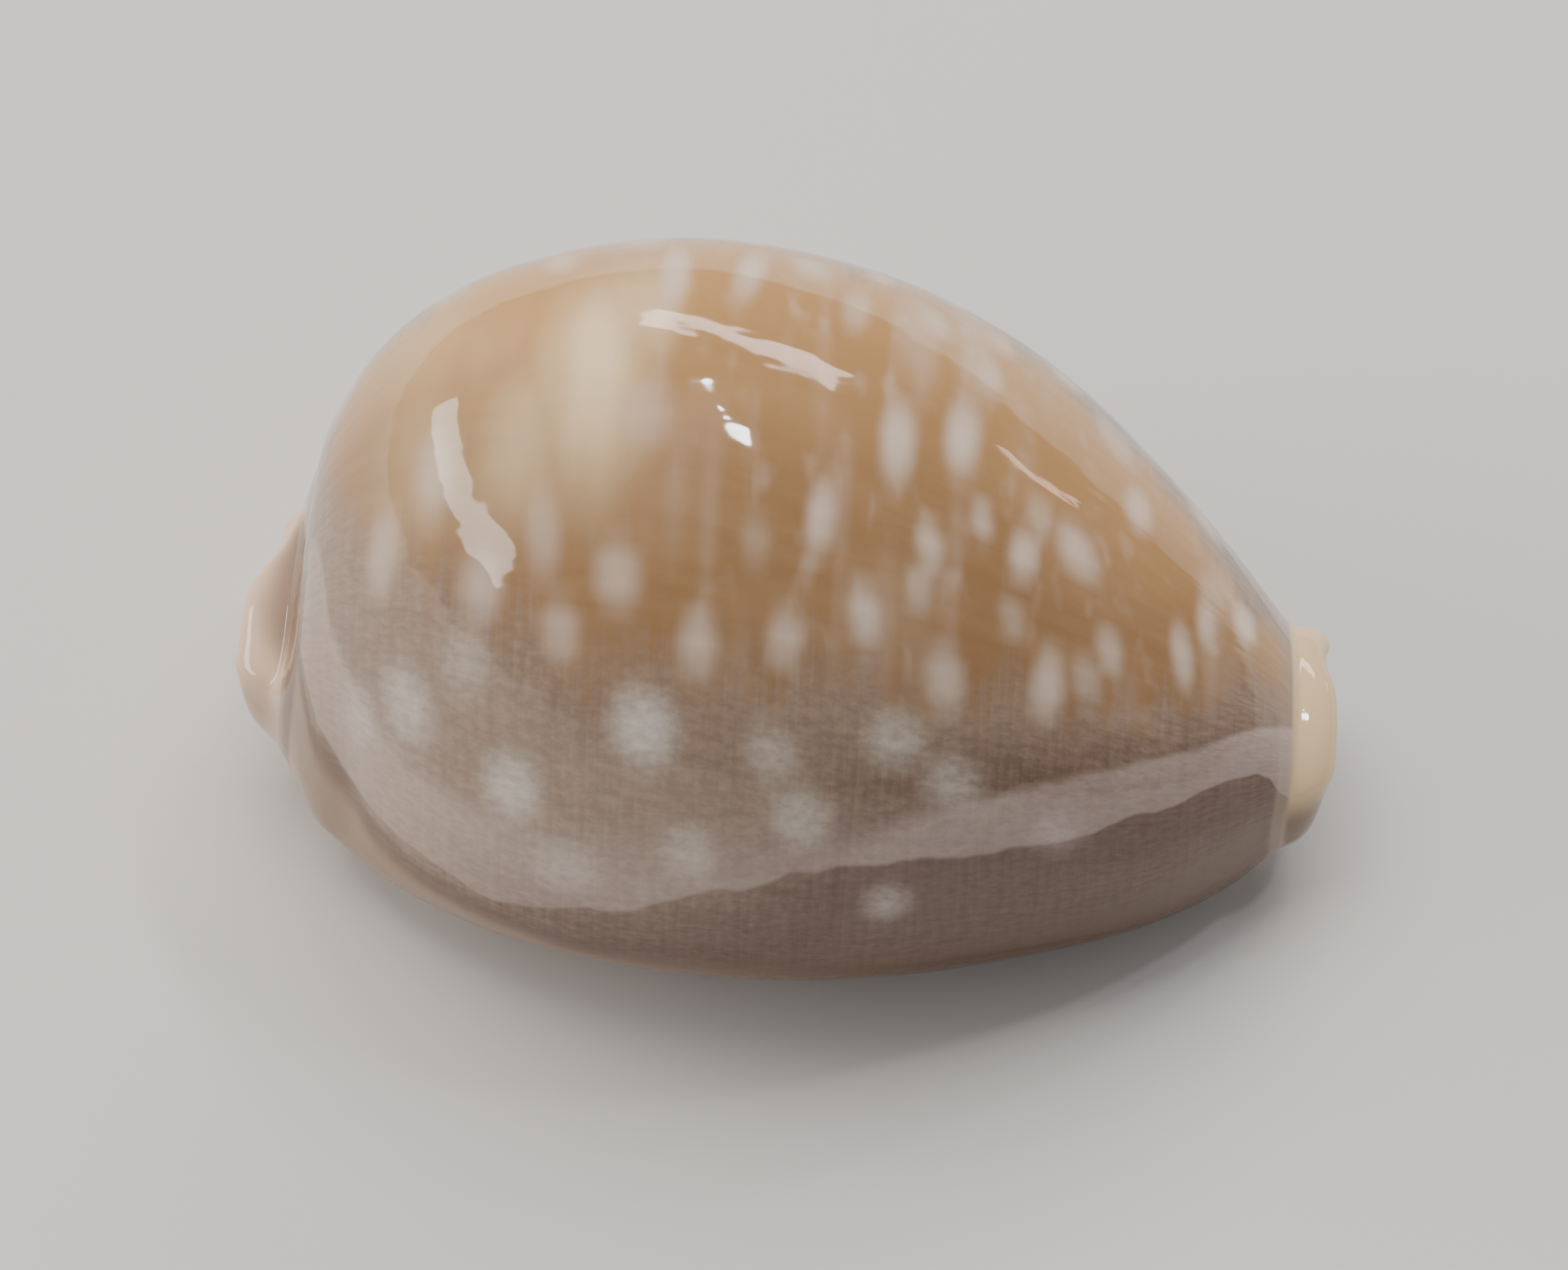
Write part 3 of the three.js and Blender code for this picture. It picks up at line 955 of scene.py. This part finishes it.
class ShellNodes(Nodes):
    """The polished shell's node tree. Each method makes one zone, or lays it over what is below.

    x, y and z are in millimetres. degrees run round the shell from the top of the back, and down is
    their size. forward is 0 at the posterior end and 1 at the anterior one, and backward is the
    rest. low is 1 on the darkest part of the sides, where shade is painted into the colour.
    """

    def __init__(self, finish):
        super().__init__("polished_shell")
        self.finish = finish
        self.place = self.add("ShaderNodeTexCoord", output="Object")
        self.x, self.y, self.z = (self.along_axis(number) for number in range(3))
        self.around = self.attribute("around")
        self.degrees = self.around * 180
        self.down = self.degrees.math("ABSOLUTE")
        self.forward = self.x.step(*FORWARD)
        self.backward = 1 - self.forward
        self.cloud = self.noise(self.place, 160, 3.0, 0.55)
        self.broad = self.noise(self.place, 70)
        self.fine_streak = self.stretched(1.0, 2.2, 0.03, 3.5)
        self.milk_streak = self.stretched(0.5, 4, 0.04, 0.9, 1.0)
        self.speckle = self.stretched(1.0, 20, 0.04, 0.9, 1.5)
        self.wool = self.stretched(1.8, 130, 0.1, 1.0, 3.0, 0.65)
        # Painted shade: low grows downwards and forwards over the sides.
        self.low = (self.x * 0.035 + self.down * 0.022 + self.broad.swing(0.8)).step(1.1, 2.1)
        self.thread = self.pale_threads()
        self.side_share = self.past_brown()
        self.past_margin = self.attribute("past_margin") + self.cloud.swing(0.6)
        self.collar = self.attribute("collar") + self.cloud.swing(0.12)

    def along_axis(self, number):
        split = self.add("ShaderNodeSeparateXYZ", {}, {0: self.place}, output=number)
        return split * MILLIMETRES

    def stretched(self, along, turns, upward, scale, detail=2.0, roughness=0.5):
        """Noise in x, in the turn round the shell and in z, each by its own factor."""
        vector = self.vector(self.x * along, self.around * turns, self.z * upward)
        return self.noise(vector, scale, detail, roughness)

    def pale_threads(self):
        """Waves along X, from -0.5 to 0.5, that wander with the streaks and the clouds."""
        wobble = self.fine_streak.swing(0.7) + self.cloud.swing(1.0)
        waves_per_millimetre = 2 * np.pi / (self.finish.thread_spacing * MILLIMETRES)
        return ((self.x + wobble) * waves_per_millimetre).math("SINE") * 0.5

    def past_brown(self):
        """0 on the back and 1 on the sides, past the ragged line where the brown ends."""
        streak = self.stretched(1.0, 2.2, 0.03, 0.9)
        ragged = streak.swing(2.6) + self.fine_streak.swing(1.6) + self.cloud.swing(1.6)
        return (self.attribute("past_side") + ragged).step(-1.0, 1.0)

    def back(self):
        """Clouded brown, warmer over the top, with a straw patch, milky streaks and specks."""
        finish = self.finish
        growth_lines = self.vector(self.x * 0.12, self.around * 26, self.y * 0.05)
        growth = self.noise(growth_lines, 1.0, 4.0, 0.65)
        clouds = (self.broad * 2.2 - 0.6 + growth.swing(1.5)).step(0.1, 0.9)
        brown = self.blend(clouds, finish.umber, finish.fawn)
        warm = (self.degrees + 24 + self.broad.swing(40)).step(0, 52) * 0.85
        brown = self.blend(warm, brown, finish.ochre)
        straw = self.attribute("straw") * (self.milk_streak * 1.2 + self.cloud * 0.9 - 0.1)
        brown = self.blend(straw, brown, finish.straw)
        milky = self.milk_streak.step(0.48, 0.8) * 0.4 + self.speckle.step(0.54, 0.85) * 0.3
        return self.blend(milky * self.x.step(*MILK_APPEARS), brown, finish.milk)

    def side(self):
        """A pale woolly weave over a taupe that darkens downwards and forwards into mauve, as
        painted shade.
        """
        weft = self.stretched(0.25, 100, 0.02, 1.0, 2.0, 0.6)
        threads = self.thread * (self.cloud + self.broad - 0.6) * 0.4
        weave = threads + self.wool.swing(2.0) + weft.swing(0.9) + self.fine_streak.swing(0.7)
        share = weave * (0.68 - self.low * 0.5) + 0.2 - self.low * 0.1
        ground = self.blend(self.low, self.finish.taupe, self.finish.mauve_and_shade)
        return self.blend(share, ground, self.finish.hair)

    def spots(self, ground):
        """Milky spots on the back, and greyer, woollier ones on the sides."""
        broken = self.milk_streak * 0.4 + self.speckle * 0.5 + 0.62
        ground = self.blend(self.attribute("spots") * broken, ground, self.finish.milk)
        woolly = self.attribute("side_spots") * (self.wool * 1.1 + 0.25)
        return self.blend(woolly, ground, self.finish.mist)

    def cream(self):
        """The collars' colour: cream behind, butter in front, and browner low down, where shade is
        painted in.
        """
        finish = self.finish
        clear = self.blend(self.x.step(*BUTTER_APPEARS), finish.cream, finish.butter)
        # Painted shade: the collars darken into tan and buff low down.
        shade = self.down.step(*CREAM_SHADED) * (0.6 + self.forward * 0.3)
        return self.blend(shade, clear, self.blend(self.forward, finish.tan, finish.buff_and_shade))

    def margins(self, ground, cream):
        """Tan and buff margins, painted shade in the groove above the posterior one, cream ends and
        the base.
        """
        finish, x, past = self.finish, self.x, self.past_margin
        margin = (past / (self.forward + 0.5)).step(-0.7, 0.9)
        # The margins darken forwards into buff, partly real colour and partly painted shade.
        colour = self.blend(x.step(*MARGIN_DARKENS), finish.tan, finish.buff_and_shade)
        ground = self.blend(margin * 0.9, ground, colour)
        # Painted shade in the groove between the side and the posterior margin.
        groove_shade = past.step(-0.7, -0.2) * (1 - past.step(0.0, 0.9)) * self.backward
        ground = self.blend(groove_shade * x.step(*GROOVE_SHADE_APPEARS) * 0.5, ground, finish.mauve_and_shade)
        pale = past.step(2.5, 6.5) * x.math("ABSOLUTE").step(*PALE_ENDS)
        ground = self.blend(pale, ground, cream)
        under = (self.down + self.cloud.swing(6)).step(*UNDERSIDE)
        return self.blend(under, ground, finish.base)

    def reflection_share(self):
        """The painted reflection of the floor: between its soft top and crisp foot, and off the
        posterior collar.
        """
        softness = 0.45 + self.x.step(*REFLECTION_EDGE_SOFTENS) * 0.8
        softness = softness - self.x.step(*REFLECTION_EDGE_SHARPENS) * 1.05
        top = (self.attribute("past_reflection_top") + self.cloud.swing(0.4)) / softness
        wavy = self.milk_streak.swing(0.5) + self.wool.swing(0.12)
        foot = self.attribute("past_reflection_foot") + wavy
        between = top.step(-0.5, 1.0) * (1 - foot.step(-0.06, 0.06))
        off_collar = 1 - self.collar.step(0.02, 0.1) * self.backward
        reflection_strength = 0.33 + self.forward * 0.13 - self.low * 0.1 + self.wool.swing(0.25)
        return between * off_collar * reflection_strength

    def collars(self, ground, cream):
        """Each collar's crease with its painted shade, its tan foot, the painted reflection of the
        floor that runs up to it, and its cream rim.
        """
        lowered = self.down.step(*COLLAR_LOWERED) * self.backward * 0.35
        reach = self.collar + lowered + self.forward * 0.25
        started = self.collar.step(0.0, 0.15)
        # Painted shade in the crease where each collar meets the body, deeper lower down.
        crease_shade = self.blend(self.forward, self.finish.mauve_and_shade, self.finish.tan)
        depth = started * (0.3 + self.down.step(*CREASE_SHADE_DEEPENS) * 0.35)
        ground = self.blend(depth, ground, crease_shade)
        ground = self.blend(started * reach.step(0.6, 0.76) * 0.9, ground, self.finish.tan)
        # Painted reflection of the floor over the lower sides.
        ground = self.blend(self.reflection_share(), ground, self.finish.painted_reflection)
        return self.blend(started * reach.step(0.72, 0.9), ground, cream)

    def aperture(self, ground):
        """Pale ridges of the teeth beside the slit, and the inside of the shell."""
        near_slit = (TOOTH_COLOUR_REACH - self.attribute("from_slit")).step(0, 2.5)
        ridges = self.attribute("tooth").step(0.25, 0.85)
        teeth = near_slit * self.down.step(*TOOTH_ZONE) * ridges
        ground = self.blend(teeth, ground, self.finish.tooth)
        hollow = self.attribute("inner").step(0.35, 0.95)
        return self.blend(hollow, ground, self.finish.inside)

    def relief(self):
        """Ripples that break up the reflections' edges, and fine relief under the gloss."""
        ripples = self.stretched(0.5, 3.5, 0.05, 1.0, 1.0, 0.4)
        steps = self.stretched(0.4, 36, 0.05, 1.0, 1.0, 0.4)
        pores = self.noise(self.place, 2600)
        waves = (ripples * 0.45 + steps * 0.48) * (1 - self.collar.step(0.1, 0.7) * 0.85)
        height = waves + self.thread * self.side_share * 0.006 + pores * 0.004
        inputs = {"Strength": 1.0, "Distance": RELIEF_HEIGHT, "Height": height}
        return self.add("ShaderNodeBump", {}, inputs)


def shell_material(finish):
    """Polished shell: brown, milky back, woven mauve sides, cream collars and pale base."""
    nodes = ShellNodes(finish)
    cream = nodes.cream()
    ground = nodes.blend(nodes.side_share, nodes.back(), nodes.side())
    ground = nodes.spots(ground)
    ground = nodes.margins(ground, cream)
    ground = nodes.collars(ground, cream)
    looks = {
        "Base Color": nodes.aperture(ground),
        "Roughness": nodes.cloud * ROUGHNESS_SPAN + ROUGHNESS_LEAST,
        "Normal": nodes.relief(),
    }
    shader = nodes.add("ShaderNodeBsdfPrincipled", {}, {**POLISH, **looks})
    nodes.add("ShaderNodeOutputMaterial", {}, {"Surface": shader})
    return nodes.material


FLOOR_MOTTLE_SCALE = 9
FLOOR_SHADE = 0.96
FLOOR_ROUGHNESS = 0.8


def floor_material(stage):
    """Matt, pale, faintly mottled board."""
    nodes = Nodes("pale_floor")
    place = nodes.add("ShaderNodeTexCoord", output="Object")
    mottle = nodes.noise(place, FLOOR_MOTTLE_SCALE, 3.0)
    darker = tuple(FLOOR_SHADE * part for part in stage.floor_colour)
    colour = nodes.blend(mottle, tuple(stage.floor_colour), darker)
    inputs = {"Base Color": colour, "Roughness": FLOOR_ROUGHNESS}
    shader = nodes.add("ShaderNodeBsdfPrincipled", {}, inputs)
    nodes.add("ShaderNodeOutputMaterial", {}, {"Surface": shader})
    return nodes.material


class COWRIE_OT_shell(bpy.types.Operator):
    """Makes the shell in place of the frame's plain one"""

    bl_idname = "cowrie.shell"
    bl_label = "Make Shell"

    def execute(self, context):
        vertices, quads, values = shell_mesh(context.scene.cowrie_form)
        piece = mesh_object("cowrie_shell", vertices, quads, values)
        piece.data.materials.append(shell_material(context.scene.cowrie_finish))
        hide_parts("shell")
        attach(piece, "root")
        return {"FINISHED"}


def facing(location, target):
    """A rotation that points an object's -Z axis from location to target."""
    return (Vector(target) - Vector(location)).to_track_quat("-Z", "Y").to_euler()


def soft_light(name, location, target, size, power, colour=(1, 1, 1), shape="RECTANGLE"):
    """An area lamp of this width and height that faces the target."""
    light = bpy.data.lights.new(name, "AREA")
    light.shape = shape
    light.size, light.size_y = size
    light.energy = power
    light.color = colour
    lamp = bpy.data.objects.new(name, light)
    lamp.location = location
    lamp.rotation_euler = facing(location, target)
    bpy.context.scene.collection.objects.link(lamp)
    return lamp


# Lamps round the shell: direction from the shell, distance, width and height, power and colour.
# The large key lights the shell softly, and only the narrow panels show in its gloss.
LAMPS = {
    "key_softbox": ((-0.2, 0.35, 0.9), 1.0, (0.9, 0.7), 9.3, (1.0, 0.96, 0.9)),
    "left_panel": ((-0.85, -0.08, 0.42), 0.7, (0.8, 0.15), 2.7, (1.0, 0.92, 0.86)),
    "back_strip": ((0.26, 0.8, 0.52), 0.8, (0.5, 0.1), 1.5, (1.0, 0.84, 0.8)),
    "right_card": ((0.77, 0.63, 0.15), 0.8, (0.07, 0.04), 0.06, (1.0, 0.66, 0.52)),
}
OUT_OF_GLOSS = ("key_softbox",)
# Small round lamps that sparkle in the gloss: direction and diameter.
SPARK_LAMPS = (
    ((0.25, 0.5, 0.83), 0.05),
    ((0.33, 0.4, 0.855), 0.035),
    ((0.37, 0.33, 0.865), 0.03),
    ((0.42, 0.25, 0.87), 0.065),
)
SPARK_DISTANCE = 0.8
SPARK_BRIGHTNESS = 130.0
SURROUNDINGS_COLOUR = (0.9, 0.93, 1.0)
SURROUNDINGS_STRENGTH = 0.24
# The camera's aim: a point in the shell, and how far left of it and below it in the picture.
AIM = (0.00042, 0.00002, 0.01)
AIM_LEFT = 0.00069
AIM_BELOW = 0.00101
SENSOR_WIDTH = 36
NEAREST_SEEN = 0.01


class COWRIE_OT_stage(bpy.types.Operator):
    """Makes the floor, the lamps, the surroundings and the camera"""

    bl_idname = "cowrie.stage"
    bl_label = "Make Stage"

    def execute(self, context):
        stage = context.scene.cowrie_stage
        self.make_floor(stage)
        self.make_lamps()
        self.make_camera(context, stage)
        return {"FINISHED"}

    @staticmethod
    def make_floor(stage):
        half = stage.floor_size / 2
        low = float(BOX_LOW[2])
        corners = [(-half, -half, low), (half, -half, low), (half, half, low), (-half, half, low)]
        mesh = bpy.data.meshes.new("floor")
        mesh.from_pydata(corners, [], [(0, 1, 2, 3)])
        floor = bpy.data.objects.new("floor", mesh)
        floor.data.materials.append(floor_material(stage))
        bpy.context.scene.collection.objects.link(floor)

    @staticmethod
    def make_lamps():
        middle = Vector((BOX_LOW + BOX_HIGH) / 2)
        for name, (direction, distance, size, power, colour) in LAMPS.items():
            place = middle + Vector(direction).normalized() * distance
            lamp = soft_light(name, place, middle, size, power, colour)
            lamp.visible_glossy = name not in OUT_OF_GLOSS
        for number, (direction, size) in enumerate(SPARK_LAMPS):
            place = middle + Vector(direction).normalized() * SPARK_DISTANCE
            power = SPARK_BRIGHTNESS * size**2
            soft_light(f"spark_{number + 1}", place, middle, (size, size), power, shape="DISK")
        world = bpy.data.worlds.new("surroundings")
        world.use_nodes = True
        background = world.node_tree.nodes["Background"]
        background.inputs["Color"].default_value = (*SURROUNDINGS_COLOUR, 1)
        background.inputs["Strength"].default_value = SURROUNDINGS_STRENGTH
        bpy.context.scene.world = world

    @staticmethod
    def make_camera(context, stage):
        """Looks along +Y and down, rolled a little, and aimed so that the shell fills the frame."""
        forward = Vector((0, np.cos(stage.elevation), -np.sin(stage.elevation)))
        level_right = Vector((1, 0, 0))
        level_up = level_right.cross(forward)
        right = level_right * np.cos(stage.roll) - level_up * np.sin(stage.roll)
        up = level_right * np.sin(stage.roll) + level_up * np.cos(stage.roll)
        aim = Vector(AIM) - AIM_LEFT * right - AIM_BELOW * up
        turn = Matrix((right, up, -forward)).transposed().to_4x4()
        data = bpy.data.cameras.new("camera")
        data.lens = stage.lens
        data.sensor_width = SENSOR_WIDTH
        data.clip_start = NEAREST_SEEN
        camera = bpy.data.objects.new("camera", data)
        camera.matrix_world = Matrix.Translation(aim - forward * stage.distance) @ turn
        context.scene.collection.objects.link(camera)
        context.scene.camera = camera


class COWRIE_PT_panel(bpy.types.Panel):
    """Lists the shell's settings and the steps that make it"""

    bl_label = "Deer Cowrie"
    bl_idname = "COWRIE_PT_panel"
    bl_space_type = "VIEW_3D"
    bl_region_type = "UI"
    bl_category = "Cowrie"

    def draw(self, context):
        for group in SETTINGS:
            box = self.layout.box()
            owner = getattr(context.scene, group)
            for name in owner.__annotations__:
                box.prop(owner, name)
        self.layout.operator(COWRIE_OT_shell.bl_idname)
        self.layout.operator(COWRIE_OT_stage.bl_idname)


SETTINGS = {"cowrie_form": CowrieForm, "cowrie_finish": CowrieFinish, "cowrie_stage": CowrieStage}
CLASSES = (*SETTINGS.values(), COWRIE_OT_shell, COWRIE_OT_stage, COWRIE_PT_panel)


def register():
    for cls in CLASSES:
        bpy.utils.register_class(cls)
    for name, group in SETTINGS.items():
        setattr(bpy.types.Scene, name, PointerProperty(type=group))


def unregister():
    for name in SETTINGS:
        delattr(bpy.types.Scene, name)
    for cls in reversed(CLASSES):
        bpy.utils.unregister_class(cls)


def main():
    """Makes the scene through the operators."""
    register()
    bpy.ops.cowrie.stage()
    bpy.ops.cowrie.shell()


if __name__ == "__main__":
    main()
